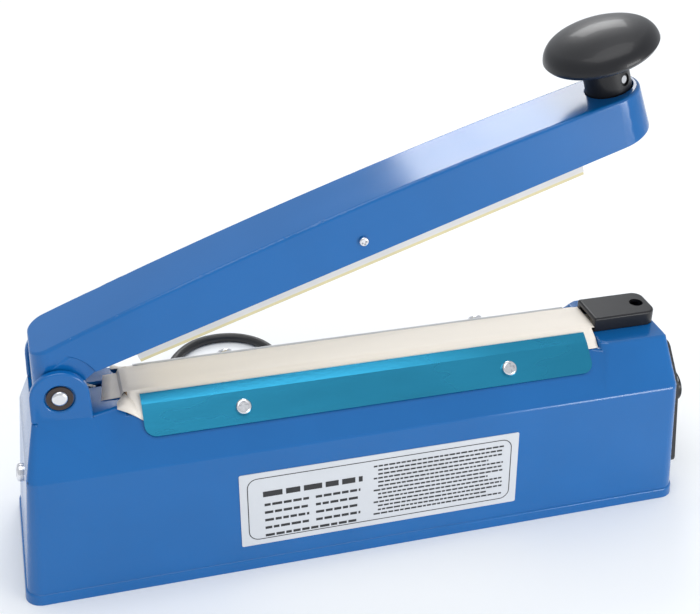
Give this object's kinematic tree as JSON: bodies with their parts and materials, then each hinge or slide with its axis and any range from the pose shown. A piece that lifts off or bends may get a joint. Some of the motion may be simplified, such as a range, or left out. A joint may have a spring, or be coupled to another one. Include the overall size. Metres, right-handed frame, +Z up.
{
  "type": "impulse heat sealer",
  "caption": "Hand impulse bag sealer: hinged press arm over a heated jaw on a moulded base, with a sprung press knob, timer dial, switch guide and mains lead.",
  "frame": {"origin": "centre of the base's underside, on the table", "axes": "+X along the base from the hinge to the knob end, -Y the label side, +Z up"},
  "size_m": [0.3162, 0.1931, 0.2223],
  "materials": {
    "blue_abs": "glossy moulded",
    "black_plastic": "glossy moulded",
    "black_matte": "fine texture",
    "cyan_foil": "bright anodised, thin film over sheet",
    "bare_aluminium": "satin",
    "holder_finish": "pale satin",
    "cloth": "coated glass cloth",
    "silicone": "translucent pale yellow",
    "screw_steel": "bright plated",
    "spring_steel": "drawn wire",
    "ring_steel": "dark phosphate",
    "label_paper": "white film",
    "jaw_insulator": "phenolic",
    "brass_parts": "turned",
    "nichrome": "flat ribbon",
    "core_steel": "varnished laminations",
    "winding_wire": "enamelled copper",
    "bobbin_plastic": "moulded",
    "board_green": "solder mask",
    "part_black": "moulded",
    "part_blue": "sleeved",
    "lamp_lens": "clear moulded",
    "cord_black": "satin sheath",
    "plated_pins": "nickel plated"
  },
  "bodies": {
    "base": {"base_housing": "blue_abs", "bottom_plate": "black_matte", "bottom_screws": "screw_steel", "name_label": "label_paper", "end_screw": "screw_steel", "jaw_bar": "jaw_insulator", "insulating_tape": "cloth", "heating_element": "nichrome", "ptfe_cloth": "cloth", "front_clamp_strip": "cyan_foil", "rear_clamp_strip": "bare_aluminium", "clamp_screws": "screw_steel", "sprung_element_terminal": "brass_parts", "fixed_element_terminal": "brass_parts", "element_tension_spring": "spring_steel", "hinge_pin": "screw_steel", "retaining_rings": "ring_steel", "switch_guide": "black_matte", "microswitch_body": "part_black", "microswitch_bracket": "bare_aluminium", "control_panel": "black_matte", "panel_screws": "screw_steel", "timer_potentiometer": "bare_aluminium", "potentiometer_nut": "plated_pins", "indicator_lamp": "lamp_lens", "transformer_core": "core_steel", "transformer_bobbin": "bobbin_plastic", "mains_winding": "winding_wire", "heating_winding": "winding_wire", "transformer_bracket": "bare_aluminium", "transformer_screws": "screw_steel", "timer_board": "board_green", "board_standoffs": "brass_parts", "board_screws": "screw_steel", "timer_relay": "part_blue", "timer_capacitors": "part_blue", "strain_relief": "cord_black", "power_cord": "cord_black", "plug_lead": "cord_black", "cord_coil": "cord_black", "cord_tie": "part_black", "plug_body": "cord_black", "plug_pins": "plated_pins"},
    "arm": {"arm_cover": "blue_abs", "silicone_holder": "holder_finish", "silicone_strip": "silicone", "holder_bolt": "screw_steel", "holder_spacers": "bobbin_plastic", "spring_seat": "black_matte", "return_spring": "spring_steel", "lift_spring": "spring_steel"},
    "knob": {"knob_cap": "black_plastic", "knob_neck": "black_plastic", "cross_pin": "screw_steel", "trigger_rod": "screw_steel"},
    "button": {"microswitch_button": "part_black"},
    "dial": {"timer_dial": "black_plastic", "potentiometer_shaft": "bare_aluminium"}
  },
  "joints": [
    {"name": "arm_hinge", "type": "hinge", "parent": "base", "child": "arm", "pos_m": [-0.1262, 0, 0.0895], "axis": [0, 1, 0], "range_deg": [0, 18.4], "stiffness_Nm_per_rad": 0.9, "springref_deg": -40.11, "deforming": ["lift_spring"]},
    {"name": "knob_press", "type": "slide", "parent": "arm", "child": "knob", "axis": [0.3156, 0, -0.9489], "range_m": [0, 0.0065], "stiffness_N_per_m": 350, "springref_m": -0.006, "deforming": ["return_spring"]},
    {"name": "switch_press", "type": "slide", "parent": "base", "child": "button", "axis": [0, 0, -1], "range_m": [0, 0.0012], "stiffness_N_per_m": 400, "springref_m": -0.002},
    {"name": "dial_turn", "type": "hinge", "parent": "base", "child": "dial", "pos_m": [0.14735, 0, 0.0349], "axis": [0.9971, 0, 0.0757], "range_deg": [-135, 135]}
  ]
}
